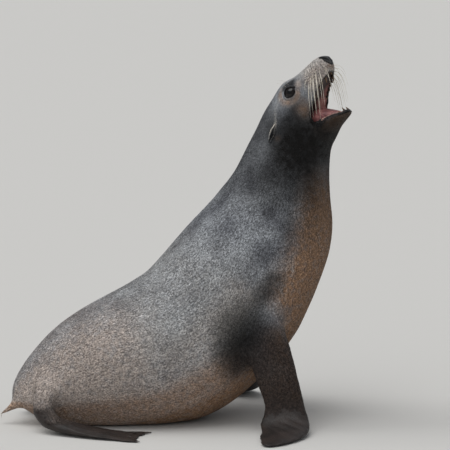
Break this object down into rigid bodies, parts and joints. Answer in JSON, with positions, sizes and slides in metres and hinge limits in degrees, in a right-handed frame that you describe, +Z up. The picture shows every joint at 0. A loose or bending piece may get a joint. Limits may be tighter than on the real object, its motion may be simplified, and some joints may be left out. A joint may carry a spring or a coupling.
{
  "type": "sea lion",
  "caption": "Life-size California sea lion sitting up on its foreflippers, head thrown back and turned to its right, mouth open, hind flippers forward.",
  "frame": {"origin": "on the floor, under the middle of the whole animal's box", "axes": "+X the way the body faces, +Y its left side, +Z up"},
  "size_m": [0.9668, 0.9496, 0.997],
  "materials": {
    "coat": "short dense damp fur, grey with a brown breast and flank",
    "hide": "bare or thinly haired dark skin of the flippers",
    "nose": "black, wet and pebbled",
    "mouth": "wet, pink to dark red",
    "eye": "wet and glossy, near black",
    "tooth": "enamel, stained at the gum",
    "whisker": "stiff pale bristle",
    "nail": "dark horn"
  },
  "bodies": {
    "root": {"head": "coat", "lower_jaw": "coat", "tongue": "mouth", "neck": "coat", "trunk": "coat", "tail": "coat", "eye_left": "eye", "eye_right": "eye", "ear_left": "coat", "ear_right": "coat", "foreflipper_left": "hide", "foreflipper_right": "hide", "hindflipper_left": "hide", "hindflipper_right": "hide", "nail_left_1": "nail", "nail_left_2": "nail", "nail_left_3": "nail", "nail_right_1": "nail", "nail_right_2": "nail", "nail_right_3": "nail"}
  },
  "joints": []
}
